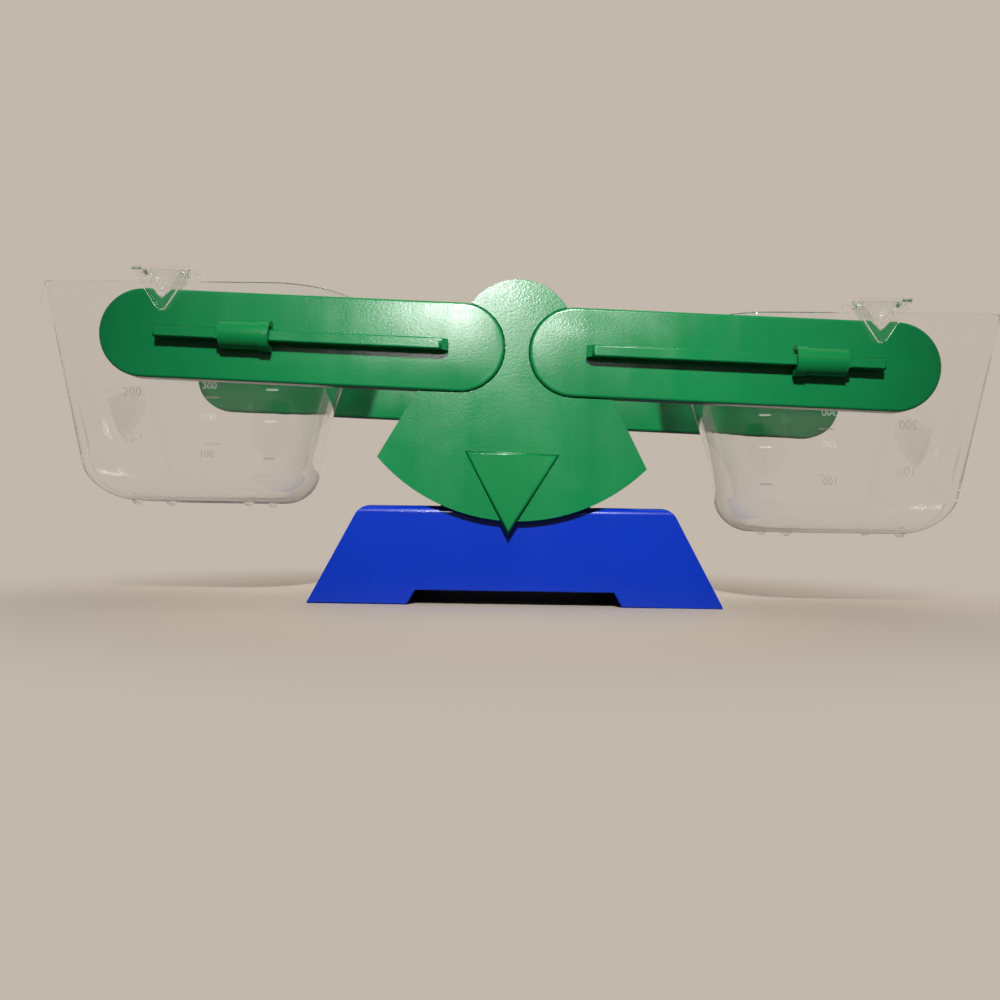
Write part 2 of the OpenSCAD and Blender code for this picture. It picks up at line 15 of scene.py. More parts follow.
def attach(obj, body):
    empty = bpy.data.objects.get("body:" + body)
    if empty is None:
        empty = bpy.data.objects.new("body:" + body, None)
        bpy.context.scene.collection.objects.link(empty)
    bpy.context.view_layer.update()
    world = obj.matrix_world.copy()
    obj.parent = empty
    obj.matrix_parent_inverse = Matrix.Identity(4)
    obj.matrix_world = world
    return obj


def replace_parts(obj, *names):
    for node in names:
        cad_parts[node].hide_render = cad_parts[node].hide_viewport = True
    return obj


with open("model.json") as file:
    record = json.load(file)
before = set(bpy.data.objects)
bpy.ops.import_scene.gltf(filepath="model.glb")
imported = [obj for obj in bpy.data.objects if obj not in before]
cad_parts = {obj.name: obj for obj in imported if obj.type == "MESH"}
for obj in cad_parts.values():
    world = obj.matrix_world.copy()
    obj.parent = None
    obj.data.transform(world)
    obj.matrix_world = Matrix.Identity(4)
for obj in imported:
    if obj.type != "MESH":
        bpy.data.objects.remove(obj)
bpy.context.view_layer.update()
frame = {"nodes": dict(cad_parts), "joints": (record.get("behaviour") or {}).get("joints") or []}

# Places that the joints of the frame give
JOINTS = {joint["name"]: joint for joint in frame["joints"]}
HOOK_AXIS = {side: Vector(JOINTS[f"{side}_bucket_swing"]["pos_m"]) for side in ("left", "right")}

# Bucket: heights, reaches from the hook's axis, and the shares that shape its walls
BUCKET_H = 0.0757
BUCKET_HANG = 0.0697
BUCKET_WALL = 0.0015
FLOOR_HALF = 0.040
RIM_HALF = 0.046
RIM_IN, RIM_OUT = 0.0624, 0.0466
FLOOR_IN, FLOOR_OUT = 0.0409, 0.0311
SPOUT_REACH = 0.0205
FLOOR_ROUND = 0.013
INNER_FLARE, SPOUT_FLARE = 1.9, 1.6
INNER_ROUND, CORNER_ROUND = 0.66, 0.12
INNER_SQUARE, SPOUT_NOSE = 0.84, 0.22
FOOT_R = 0.0022
FEET_IN, FEET_OUT, FEET_Y = 0.5, 0.68, 0.44

# Hooks and ribs on the bucket's front and rear walls, with a hair's breadth between touching clear pieces
HOOK_R = 0.0016
HOOK_T = 0.0014
HOOK_ANGLE = math.radians(35)
HOOK_TOP = 0.0085
FLANGE_Z = HOOK_TOP - HOOK_T
FLANGE_HALF_L = 0.00975
TAB_BACK = 0.0549
TAB_DROP = 0.0063
TAB_R = 0.002
WEB_T = 0.0009
RIB_W = 0.018
RIB_T = 0.0012
RIB_DROP = 0.017
SEAM = 0.00002

# Graduations: volumes in millilitres, places along the wall and sizes of the marks
MARKED_ML = (100, 200, 300, 400)
CUBIC_METRES_PER_ML = 1e-6
NUMBER_X = 0.0145
TICK_X = -0.0135
NUMBER_H = 0.0031
NUMBER_H_SHARE = 0.7
TICK_L, TICK_T, TICK_DROP = 0.005, 0.0007, 0.0016
MARK_PROUD = 0.00022

# Lip at the outer end of a slider: length along the rail, height, and depths before the rail
LIP_L, LIP_H = 0.0011, 0.0044
LIP_BACK, LIP_FRONT = 0.0591, 0.0607

# Widths of rounded edges, and the height under which the base has them
BASE_EDGE, CAP_EDGE, HUB_EDGE, POINTER_EDGE = 0.0005, 0.0005, 0.0007, 0.0011
ARM_EDGE, SLIDER_EDGE, TAB_EDGE, LIP_EDGE = 0.0006, 0.0002, 0.0004, 0.0004
BASE_EDGE_BELOW = 0.006
EDGE_STEPS = 4
EDGE_ANGLE, SHARP_ANGLE = math.radians(40), math.radians(35)

# Distances within which points are merged or count as level, and the angle within which faces are one plane
DRAWN_MERGE, MOULDING_MERGE = 1e-6, 2e-6
SAME_PLACE = 1e-5
SAME_PLANE = math.radians(0.4)

# Points along the curves of a bucket, and levels at which its volume is summed
INNER_STEPS, CORNER_STEPS, NOSE_STEPS = 29, 13, 11
ROUND_STEPS, WALL_STEPS, RIM_STEPS, FLOOR_STEPS = 12, 22, 9, 5
FOOT_STEPS, FOOT_SIDES = 7, 24
V_STEPS, RIB_STEPS, NUMBER_STEPS = 13, 17, 4
VOLUME_STEPS = 200

# Camera: image width, focal length and meeting point of lines along +Y in pixels, then place, roll and sensor
IMAGE_PX = 1000
FOCAL_PX = 961.6
MEETING_PX = (515.5, 521)
CAMERA_AT = Vector((0.0, -0.374, 0.0286))
CAMERA_ROLL = math.radians(0.8)
CAMERA_NEAR = 0.01
SENSOR_MM = 36

# Room: colours, floor, distances of its fading, directions in which the room turns pale, and light bounces
BACKDROP = (0.545, 0.478, 0.412)
DIM_ROOM = (0.060, 0.055, 0.050)
FLOOR_R, FLOOR_SIDES = 3.0, 96
FADE_NEAR, FADE_FAR = 0.05, 0.24
DIM_BEFORE, PALE_BEHIND = -0.45, 0.35
LIGHT_BOUNCES = 200


# Meshes

def new_piece(name, points, faces, material, body):
    """A mesh object from a vertex array and face lists, riding on a body of the frame."""
    mesh = bpy.data.meshes.new(name)
    mesh.from_pydata(points.reshape(-1, 3).tolist(), [], [list(face) for face in faces])
    mesh.update()
    piece = bpy.data.objects.new(name, mesh)
    bpy.context.scene.collection.objects.link(piece)
    mesh.materials.append(material)
    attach(piece, body)
    return piece


def vertex_array(mesh):
    """The vertices of a mesh as an array of (count, 3)."""
    points = np.zeros(3 * len(mesh.vertices))
    mesh.vertices.foreach_get("co", points)
    return points.reshape(-1, 3)


def grid_faces(rows, columns):
    """Four-sided faces between neighbouring rows and columns, with the last column joined to the first."""
    row, column = np.meshgrid(np.arange(rows - 1), np.arange(columns), indexing="ij")
    across = (column + 1) % columns
    corners = (row * columns + column, row * columns + across,
               (row + 1) * columns + across, (row + 1) * columns + column)
    return np.stack(corners, axis=-1).reshape(-1, 4)


def outward(points, faces):
    """The faces with their turn reversed if the volume that they enclose comes out negative."""
    flat = points.reshape(-1, 3)
    a, b, c, d = (flat[faces[:, k]] for k in range(4))
    volume = np.einsum("ij,ij->", a, np.cross(b, c)) + np.einsum("ij,ij->", a, np.cross(c, d))
    return faces if volume > 0 else faces[:, ::-1]


def bar(sections):
    """A closed bar through four-cornered sections, given as an array of (sections, 4, 3)."""
    count = len(sections)
    ends = np.array([[0, 1, 2, 3], [4 * count - 1, 4 * count - 2, 4 * count - 3, 4 * count - 4]])
    faces = np.concatenate([grid_faces(count, 4), ends[:, ::-1]])
    return sections.reshape(-1, 3), outward(sections, faces)


def joined(parts):
    """One vertex array and one list of faces from several pairs of both."""
    starts = np.cumsum([0] + [len(points) for points, _ in parts])
    points = np.concatenate([points for points, _ in parts])
    faces = [np.asarray(face) + start for (_, part_faces), start in zip(parts, starts) for face in part_faces]
    return points, faces


def merged(piece):
    """Merges the coinciding points at a piece's seams and poles, and turns its faces outwards."""
    solid = bmesh.new()
    solid.from_mesh(piece.data)
    bmesh.ops.remove_doubles(solid, verts=solid.verts, dist=DRAWN_MERGE)
    bmesh.ops.recalc_face_normals(solid, faces=solid.faces)
    solid.to_mesh(piece.data)
    solid.free()
    return piece


def rounded_edges(piece, width, limit):
    """Live bevel on a piece's edges, chosen by ANGLE or WEIGHT, with normals that keep flat faces flat."""
    bevel = piece.modifiers.new("rounded_edges", "BEVEL")
    bevel.width = width
    bevel.segments = EDGE_STEPS
    bevel.limit_method = limit
    bevel.angle_limit = EDGE_ANGLE
    bevel.harden_normals = True
    piece.data.shade_smooth()
    piece.data.set_sharp_from_angle(angle=SHARP_ANGLE)


def softened(node, width, material, body, below=math.inf):
    """A copy of a moulded node with merged points and whole flat faces, rounded round its outermost face.

    The edges with both ends at the greatest depth, and lower than a height, are the ones that are rounded.
    """
    source = frame["nodes"][node].data
    source.calc_loop_triangles()
    corners = np.zeros(3 * len(source.loop_triangles), dtype=int)
    source.loop_triangles.foreach_get("vertices", corners)
    piece = new_piece(f"{node}_moulding", vertex_array(source), corners.reshape(-1, 3), material, body)
    solid = bmesh.new()
    solid.from_mesh(piece.data)
    bmesh.ops.remove_doubles(solid, verts=solid.verts, dist=MOULDING_MERGE)
    bmesh.ops.dissolve_limit(solid, angle_limit=SAME_PLANE, verts=solid.verts, edges=solid.edges)
    solid.to_mesh(piece.data)
    solid.free()
    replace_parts(piece, node)

    mesh = piece.data
    points = vertex_array(mesh)
    ends = np.zeros(2 * len(mesh.edges), dtype=int)
    mesh.edges.foreach_get("vertices", ends)
    depth = np.abs(points[:, 1])
    outermost = (depth > depth.max() - SAME_PLACE) & (points[:, 2] < below)
    weight = outermost[ends.reshape(-1, 2)].all(axis=1).astype(float)
    mesh.attributes.new("bevel_weight_edge", "FLOAT", "EDGE").data.foreach_set("value", weight)
    rounded_edges(piece, width, "WEIGHT")


# Materials

def link(tree, source, target):
    """Joins an output socket to an input socket."""
    tree.links.new(source, target)


def set_values(node, values):
    """Sets the values of a node's own input sockets."""
    for socket, value in values.items():
        node.inputs[socket].default_value = value


def add_node(tree, kind, values=None, **settings):
    """A node of one kind with its settings, and then the values of its own sockets."""
    node = tree.nodes.new(kind)
    for name, setting in settings.items():
        setattr(node, name, setting)
    set_values(node, values or {})
    return node


def moulded_surface_group():
    """Cloudy colour, handled-looking gloss and fine grain of a moulded plastic, on Object coordinates.

    The colour grows lighter and darker by the cloud's share with a broad noise. The roughness moves by the
    gloss spread with a noise of smudges and another of streaks drawn out upwards. The height is a fine noise.
    """
    group = bpy.data.node_groups.new("moulded_surface", "ShaderNodeTree")
    color, number = "NodeSocketColor", "NodeSocketFloat"
    sockets = {"INPUT": {"Color": color, "Cloud": number, "Roughness": number,
                         "Gloss Spread": number, "Grain Scale": number},
               "OUTPUT": {"Color": color, "Roughness": number, "Height": number}}
    for end, kinds in sockets.items():
        for name, kind in kinds.items():
            group.interface.new_socket(name, in_out=end, socket_type=kind)
    given = add_node(group, "NodeGroupInput")
    made = add_node(group, "NodeGroupOutput")
    place = add_node(group, "ShaderNodeTexCoord")

    cloud = add_node(group, "ShaderNodeTexNoise", {"Scale": 28, "Detail": 3})
    low = add_node(group, "ShaderNodeMath", {0: 1.0}, operation="SUBTRACT")
    high = add_node(group, "ShaderNodeMath", {0: 1.0}, operation="ADD")
    value = add_node(group, "ShaderNodeMapRange", {"From Min": 0.3, "From Max": 0.7})
    shade = add_node(group, "ShaderNodeHueSaturation")
    link(group, place.outputs["Object"], cloud.inputs["Vector"])
    link(group, given.outputs["Cloud"], low.inputs[1])
    link(group, given.outputs["Cloud"], high.inputs[1])
    link(group, cloud.outputs["Fac"], value.inputs["Value"])
    link(group, low.outputs[0], value.inputs["To Min"])
    link(group, high.outputs[0], value.inputs["To Max"])
    link(group, value.outputs["Result"], shade.inputs["Value"])
    link(group, given.outputs["Color"], shade.inputs["Color"])
    link(group, shade.outputs["Color"], made.inputs["Color"])

    smudge = add_node(group, "ShaderNodeTexNoise", {"Scale": 46, "Detail": 5, "Distortion": 0.8})
    drawn_out = add_node(group, "ShaderNodeMapping", {"Scale": (150, 150, 11)})
    streak = add_node(group, "ShaderNodeTexNoise", {"Scale": 1.0, "Detail": 3})
    wiped = add_node(group, "ShaderNodeMath", {1: 0.6}, operation="MULTIPLY_ADD")
    centred = add_node(group, "ShaderNodeMath", {1: 0.8}, operation="SUBTRACT")
    spread = add_node(group, "ShaderNodeMath", operation="MULTIPLY_ADD")
    link(group, place.outputs["Object"], smudge.inputs["Vector"])
    link(group, place.outputs["Object"], drawn_out.inputs["Vector"])
    link(group, drawn_out.outputs["Vector"], streak.inputs["Vector"])
    link(group, streak.outputs["Fac"], wiped.inputs[0])
    link(group, smudge.outputs["Fac"], wiped.inputs[2])
    link(group, wiped.outputs[0], centred.inputs[0])
    link(group, centred.outputs[0], spread.inputs[0])
    link(group, given.outputs["Gloss Spread"], spread.inputs[1])
    link(group, given.outputs["Roughness"], spread.inputs[2])
    link(group, spread.outputs[0], made.inputs["Roughness"])

    grain = add_node(group, "ShaderNodeTexNoise", {"Detail": 2})
    link(group, place.outputs["Object"], grain.inputs["Vector"])
    link(group, given.outputs["Grain Scale"], grain.inputs["Scale"])
    link(group, grain.outputs["Fac"], made.inputs["Height"])
    return group


MOULDED_SURFACE = moulded_surface_group()


def new_material(name):
    """A material, its node tree and its shader."""
    material = bpy.data.materials.new(name)
    material.use_nodes = True
    return material, material.node_tree, material.node_tree.nodes["Principled BSDF"]


def handled_surface(tree, shader, values):
    """Places the shared surface group in a material, where it drives the roughness."""
    surface = add_node(tree, "ShaderNodeGroup", values, node_tree=MOULDED_SURFACE)
    link(tree, surface.outputs["Roughness"], shader.inputs["Roughness"])
    return surface


def raise_grain(tree, shader, surface, strength, depth):
    """Lets the height of the surface group raise the normals of a material."""
    bump = add_node(tree, "ShaderNodeBump", {"Strength": strength, "Distance": depth})
    link(tree, surface.outputs["Height"], bump.inputs["Height"])
    link(tree, bump.outputs["Normal"], shader.inputs["Normal"])


def moulded_plastic(name, color, roughness, gloss_spread, cloud, grain_scale, grain_depth):
    """Opaque moulded plastic: the shared surface group drives colour, gloss and a fine bump."""
    material, tree, shader = new_material(name)
    surface = handled_surface(tree, shader, {"Color": (*color, 1), "Cloud": cloud, "Roughness": roughness,
                                             "Gloss Spread": gloss_spread, "Grain Scale": grain_scale})
    link(tree, surface.outputs["Color"], shader.inputs["Base Color"])
    raise_grain(tree, shader, surface, strength=0.6, depth=grain_depth)
    return material


def clear_plastic(name, roughness):
    """Clear styrene with faint flow waves in its surface, more or less polished."""
    material, tree, shader = new_material(name)
    set_values(shader, {"Base Color": (0.985, 0.990, 0.988, 1), "Transmission Weight": 1.0, "IOR": 1.36})
    surface = handled_surface(tree, shader, {"Roughness": roughness, "Gloss Spread": 0.05, "Grain Scale": 60})
    raise_grain(tree, shader, surface, strength=0.25, depth=0.0004)
    return material


def frosted_plastic(name):
    """Etched face of the raised marks on a bucket: a thin, dull, pale veil."""
    material, tree, shader = new_material(name)
    set_values(shader, {"Base Color": (0.95, 0.95, 0.93, 1), "Alpha": 0.26})
    handled_surface(tree, shader, {"Roughness": 0.6, "Gloss Spread": 0.2})
    return material


def drawn_steel(name):
    """Bright drawn rod with smudges and streaks in its gloss."""
    material, tree, shader = new_material(name)
    set_values(shader, {"Base Color": (0.62, 0.63, 0.65, 1), "Metallic": 1.0})
    handled_surface(tree, shader, {"Roughness": 0.3, "Gloss Spread": 0.3})
    return material


BEAM_GREEN = moulded_plastic("beam_green", color=(0.004, 0.226, 0.066), roughness=0.232, gloss_spread=0.20,
                             cloud=0.08, grain_scale=1200, grain_depth=0.00004)
TRIM_GREEN = moulded_plastic("trim_green", color=(0.003, 0.226, 0.060), roughness=0.235, gloss_spread=0.16,
                             cloud=0.06, grain_scale=1200, grain_depth=0.00003)
STAND_BLUE = moulded_plastic("stand_blue", color=(0.002, 0.034, 0.490), roughness=0.20, gloss_spread=0.08,
                             cloud=0.05, grain_scale=1600, grain_depth=0.00003)
CAP_YELLOW = moulded_plastic("cap_yellow", color=(0.86, 0.47, 0.015), roughness=0.30, gloss_spread=0.18,
                             cloud=0.05, grain_scale=1600, grain_depth=0.00003)
BUCKET_CLEAR = clear_plastic("bucket_clear", roughness=0.03)
HOOK_CLEAR = clear_plastic("hook_clear", roughness=0.1)
MARK_FROST = frosted_plastic("mark_frost")
AXLE_STEEL = drawn_steel("axle_steel")


# Buckets

def wall_half(z):
    """Half depth of the bucket at a height: it grows evenly from floor to rim."""
    return FLOOR_HALF + (RIM_HALF - FLOOR_HALF) * z / BUCKET_H


def bucket_plan(z, inset):
    """Rings of the bucket's plan at heights z, drawn in by insets, as an array of (heights, points, 2).

    Half a ring runs from the inner end to the spout: a squared-off ellipse arc, a round corner, and a
    straight run that bends into the spout's nose as a parabola. The other half is its mirror image.
    """
    z, inset = np.asarray(z)[:, None], np.asarray(inset)[:, None]
    share = np.clip(z / BUCKET_H, 0, None)
    inner = -FLOOR_IN - (RIM_IN - FLOOR_IN) * share ** INNER_FLARE + inset
    corner = FLOOR_OUT + (RIM_OUT - FLOOR_OUT) * share
    tip = corner + SPOUT_REACH * share ** SPOUT_FLARE - inset
    outer = corner - inset
    half = wall_half(z) - inset
    end_r, corner_r, nose = INNER_ROUND * half, CORNER_ROUND * half, SPOUT_NOSE * half
    lean = np.arctan((tip - outer) / (half - corner_r - nose / 2))

    turn = np.linspace(0, math.pi / 2, INNER_STEPS)[None, :]
    end_x = inner + end_r * (1 - np.clip(np.cos(turn), 0, None) ** INNER_SQUARE)
    end_y = half * np.sin(turn) ** INNER_SQUARE
    bend = math.pi / 2 - (math.pi / 2 - lean) * np.linspace(0, 1, CORNER_STEPS)[None, :]
    bend_x = outer - corner_r + corner_r * np.cos(bend)
    bend_y = half - corner_r + corner_r * np.sin(bend)
    along = np.linspace(1, 0, NOSE_STEPS)[None, :]
    nose_x = tip - np.tan(lean) * nose * along ** 2 / 2
    nose_y = nose * along

    side = np.stack([np.concatenate([end_x, bend_x, nose_x], axis=1),
                     np.concatenate([end_y, bend_y, nose_y], axis=1)], axis=-1)
    mirrored = side[:, -2:0:-1] * (1, -1)
    return np.concatenate([side, mirrored], axis=1)


def bucket_shell():
    """Closed shell of a bucket: out from the middle of the floor, up the outside, over the rim, and back."""
    wall, inner_round = BUCKET_WALL, FLOOR_ROUND - BUCKET_WALL
    turn = np.linspace(0, math.pi / 2, ROUND_STEPS)
    rise = np.linspace(FLOOR_ROUND, BUCKET_H - wall / 2, WALL_STEPS)[1:]
    over = np.linspace(0, math.pi, RIM_STEPS)[1:-1]
    flat = np.linspace(0, 1, FLOOR_STEPS)[:-1]
    heights = np.concatenate([0 * flat, FLOOR_ROUND * (1 - np.cos(turn)), rise,
                              BUCKET_H - wall / 2 + wall / 2 * np.sin(over), rise[::-1],
                              (wall + inner_round * (1 - np.cos(turn)))[::-1], 0 * flat + wall])
    insets = np.concatenate([0 * flat + FLOOR_ROUND, FLOOR_ROUND * (1 - np.sin(turn)), 0 * rise,
                             wall / 2 * (1 - np.cos(over)), 0 * rise + wall,
                             (wall + inner_round * (1 - np.sin(turn)))[::-1], 0 * flat + FLOOR_ROUND])
    shares = np.concatenate([flat, np.ones(len(heights) - 2 * len(flat)), flat[::-1]])
    middle = np.array([(FLOOR_OUT - FLOOR_IN) / 2, 0])
    plan = middle + (bucket_plan(heights, insets) - middle) * shares[:, None, None]
    lift = np.broadcast_to((heights - BUCKET_HANG)[:, None, None], plan.shape[:2] + (1,))
    points = np.concatenate([plan, lift], axis=-1)
    return points.reshape(-1, 3), outward(points, grid_faces(len(heights), plan.shape[1]))


def bucket_foot(x, y):
    """A small dome under the floor: a quarter circle turned about the vertical, closed inside the floor."""
    turn = np.linspace(0, math.pi / 2, FOOT_STEPS)
    radius = np.append(FOOT_R * np.sin(turn), 0)[:, None]
    height = np.append(-FOOT_R * np.cos(turn), 0)[:, None] + BUCKET_WALL / 2 - BUCKET_HANG
    around = np.linspace(0, 2 * math.pi, FOOT_SIDES, endpoint=False)[None, :]
    across = (x + radius * np.cos(around), y + radius * np.sin(around), height)
    points = np.stack(np.broadcast_arrays(*across), axis=-1)
    return points.reshape(-1, 3), outward(points, grid_faces(len(radius), FOOT_SIDES))


def v_line(radius, angle, top):
    """Front view of a V about the centre of its round bottom: down one side, round an arc, up the other."""
    turn = np.linspace(-math.pi / 2 + angle, math.pi / 2 - angle, V_STEPS)
    arc = np.stack([radius * np.sin(turn), -radius * np.cos(turn)], axis=-1)
    rise = top - arc[-1, 1]
    end = arc[-1] + np.array([rise * math.tan(angle), rise])
    return np.concatenate([[end * (-1, 1)], arc, [end]])


def between_depths(line_a, line_b, front, back):
    """Sections of a bar between two front-view lines and two depths, which may differ along the line."""
    def at(line, depth):
        return np.stack([line[:, 0], np.broadcast_to(-depth, len(line)), line[:, 1]], axis=-1)
    return np.stack([at(line_a, front(line_a)), at(line_b, front(line_b)),
                     at(line_b, back(line_b)), at(line_a, back(line_a))], axis=1)


def wall_face(proud):
    """Depth of the bucket's front wall at each point of a front-view line, and so far proud of it."""
    return lambda line: wall_half(line[:, 1] + BUCKET_HANG) + proud


def level(depth):
    """The same depth at each point of a front-view line."""
    return lambda line: np.array(depth)


def filled(line, front, back):
    """A plate with the outline of a V: a bar between the two sides of the line, short of its lowest point."""
    middle = len(line) // 2
    return bar(between_depths(line[:middle], line[middle + 1:][::-1], front, back))


def hook_parts():
    """Hook on the front wall: a hollow V for the arm's notch, and the web that fills it at the wall."""
    outside = v_line(HOOK_R, HOOK_ANGLE, FLANGE_Z)
    inside = v_line(HOOK_R - HOOK_T, HOOK_ANGLE, FLANGE_Z)
    strap = bar(between_depths(outside, inside, level(TAB_BACK), wall_face(SEAM)))
    web_line = v_line(HOOK_R - HOOK_T - SEAM, HOOK_ANGLE, FLANGE_Z)
    return [strap, filled(web_line, wall_face(WEB_T), wall_face(SEAM))]


def tab_parts():
    """Flange over the hook, and the V-shaped tab that hangs from the whole of it before the arm.

    The tab's sides run from the ends of the flange and touch the round of its tip.
    """
    rise = FLANGE_Z + TAB_DROP - TAB_R
    angle = math.acos(TAB_R / math.hypot(FLANGE_HALF_L, rise)) - math.atan2(rise, FLANGE_HALF_L)
    line = v_line(TAB_R, angle, rise) + (0, TAB_R - TAB_DROP)
    front = level(TAB_BACK + HOOK_T)
    tab = filled(line, front, level(TAB_BACK + SEAM))
    ends = np.array([[-FLANGE_HALF_L, FLANGE_Z + SEAM], [FLANGE_HALF_L, FLANGE_Z + SEAM]])
    flange = bar(between_depths(ends, ends + (0, HOOK_T), front, level(RIM_HALF - BUCKET_WALL)))
    return [tab, flange]


def rib_part():
    """Raised U on the front wall under the hook: two straight runs and a half circle that follow the wall."""
    reach, foot = RIB_W / 2 - RIB_T / 2, -RIB_DROP + RIB_W / 2
    top = BUCKET_H - BUCKET_HANG - 2 * BUCKET_WALL
    turn = np.linspace(-math.pi / 2, math.pi / 2, RIB_STEPS)
    arc = np.stack([reach * np.sin(turn), foot - reach * np.cos(turn)], axis=-1)
    line = np.concatenate([[[-reach, top]], arc, [[reach, top]]])
    side = np.concatenate([[[-1, 0]], np.stack([np.sin(turn), -np.cos(turn)], axis=-1), [[1, 0]]]) * RIB_T / 2
    return bar(between_depths(line + side, line - side, wall_face(RIB_T / 2), wall_face(SEAM)))


def level_of(millilitres):
    """Height above the floor at which the bucket holds a volume, from the areas of its inner plan."""
    z = np.linspace(BUCKET_WALL, BUCKET_H, VOLUME_STEPS)
    deep = np.clip((FLOOR_ROUND - z) / (FLOOR_ROUND - BUCKET_WALL), 0, 1)
    inset = BUCKET_WALL + (FLOOR_ROUND - BUCKET_WALL) * (1 - np.sqrt(1 - deep ** 2))
    ring = bucket_plan(z, inset)
    x, y = ring[..., 0], ring[..., 1]
    area = np.abs(np.sum(x * np.roll(y, -1, axis=1) - y * np.roll(x, -1, axis=1), axis=1)) / 2
    volume = np.concatenate([[0], np.cumsum((area[1:] + area[:-1]) / 2 * np.diff(z))])
    return np.interp(np.asarray(millilitres) * CUBIC_METRES_PER_ML, volume, z)


def in_wall(x, z, proud, side):
    """Points inside the front (-1) or rear (1) wall, at x along it, z above the floor and proud of it."""
    return np.stack([x, side * (wall_half(z) - BUCKET_WALL - SEAM - proud), z - BUCKET_HANG], axis=-1)


def tick_part(z, side):
    """Short raised line at one level of a wall: a bar of two four-cornered sections along X."""
    run = np.array([TICK_X - TICK_L / 2, TICK_X + TICK_L / 2])[:, None]
    corner_z = z + TICK_T / 2 * np.array([-1, 1, 1, -1])[None, :]
    proud = MARK_PROUD * np.array([1, 1, 0, 0])[None, :]
    return bar(in_wall(*np.broadcast_arrays(run, corner_z, proud), side))


def number_points(text):
    """Vertices and faces of a plain number in its own plane, as tall as the marks ask for."""
    curve = bpy.data.curves.new("number", "FONT")
    curve.body = text
    curve.size = NUMBER_H / NUMBER_H_SHARE
    curve.align_x = "CENTER"
    curve.align_y = "CENTER"
    curve.extrude = MARK_PROUD / 2
    curve.resolution_u = NUMBER_STEPS
    holder = bpy.data.objects.new("number", curve)
    bpy.context.scene.collection.objects.link(holder)
    mesh = bpy.data.meshes.new_from_object(holder.evaluated_get(bpy.context.evaluated_depsgraph_get()))
    points = vertex_array(mesh)
    faces = [tuple(face.vertices) for face in mesh.polygons]
    bpy.data.objects.remove(holder)
    bpy.data.meshes.remove(mesh)
    bpy.data.curves.remove(curve)
    return points, faces


def graduation_marks():
    """Numbers and lines on both walls of a bucket, at the levels of their volumes.

    All of them read when looking along the bucket's own -Y.
    """
    parts = []
    for side in (-1, 1):
        for volume, height in zip(MARKED_ML, level_of(MARKED_ML)):
            flat, flat_faces = number_points(str(volume))
            proud = MARK_PROUD / 2 + flat[:, 2]
            parts.append((in_wall(NUMBER_X - flat[:, 0], height + flat[:, 1], proud, side), flat_faces))
            parts.append(tick_part(height - TICK_DROP, side))
    return joined(parts)


def hang(points, side):
    """Carries a bucket's points to the right or left hook; the left bucket is turned half round."""
    turn = np.array([1, 1, 1]) if side == "right" else np.array([-1, -1, 1])
    return points * turn + np.array(HOOK_AXIS[side])


def both_walls(parts):
    """Parts of the front wall and their twins on the rear wall."""
    return parts + [(points * (1, -1, 1), faces[:, ::-1]) for points, faces in parts]


def bucket_piece(side, name, part, material):
    """A piece of the right or left bucket, hung in its place."""
    points, faces = part
    body = f"{side}_bucket"
    return new_piece(f"{body}_{name}", hang(points, side), faces, material, body)


def dress_buckets():
    """Draws each bucket as a smooth shell with feet, hooks with ribs, tabs, and marks."""
    feet = [bucket_foot(x, y * FEET_Y * FLOOR_HALF)
            for x in (-FEET_IN * FLOOR_IN, FEET_OUT * FLOOR_OUT) for y in (-1, 1)]
    shell_part = joined([bucket_shell()] + feet)
    hook_part = joined(both_walls(hook_parts() + [rib_part()]))
    tab_part = joined(both_walls(tab_parts()))
    mark_part = graduation_marks()
    for side in ("left", "right"):
        body = f"{side}_bucket"
        shell = bucket_piece(side, "shell", shell_part, BUCKET_CLEAR)
        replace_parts(merged(shell), body)
        shell.data.shade_smooth()
        hooks = bucket_piece(side, "hooks", hook_part, HOOK_CLEAR)
        tabs = bucket_piece(side, "tabs", tab_part, HOOK_CLEAR)
        rounded_edges(tabs, TAB_EDGE, "ANGLE")
        for clear in (hooks, tabs):
            # Light reaches the arm behind a hook straight through the clear plastic
            clear.visible_shadow = clear.visible_diffuse = False
        merged(bucket_piece(side, "marks", mark_part, MARK_FROST))


# Beam and stand

def slider_lip(face, side):
    """Small block before the rail at the outer end of a slider: two four-cornered sections along the rail."""
    body = f"{face}_{side}_slider"
    outer = -1 if side == "left" else 1
    along = np.array(JOINTS[f"{body}_travel"]["axis"])
    along = along * np.sign(along[0]) * outer
    up = np.array([-along[2], 0, along[0]]) * outer
    front = np.array([0, -1 if face == "front" else 1, 0])
    points = vertex_array(frame["nodes"][body].data)
    reach = points @ along
    end = points[reach > reach.max() - SAME_PLACE]
    middle = (end.min(axis=0) + end.max(axis=0)) / 2 * (1, 0, 1)
    run = np.array([-LIP_L / 2, LIP_L])[:, None, None] * along
    heights = LIP_H / 2 * np.array([-1, 1, 1, -1])[:, None] * up
    depths = np.array([LIP_BACK, LIP_BACK, LIP_FRONT, LIP_FRONT])[:, None] * front
    sections, faces = bar(middle + run + heights + depths)
    lip = new_piece(f"{body}_lip", sections, faces, TRIM_GREEN, body)
    rounded_edges(lip, LIP_EDGE, "ANGLE")


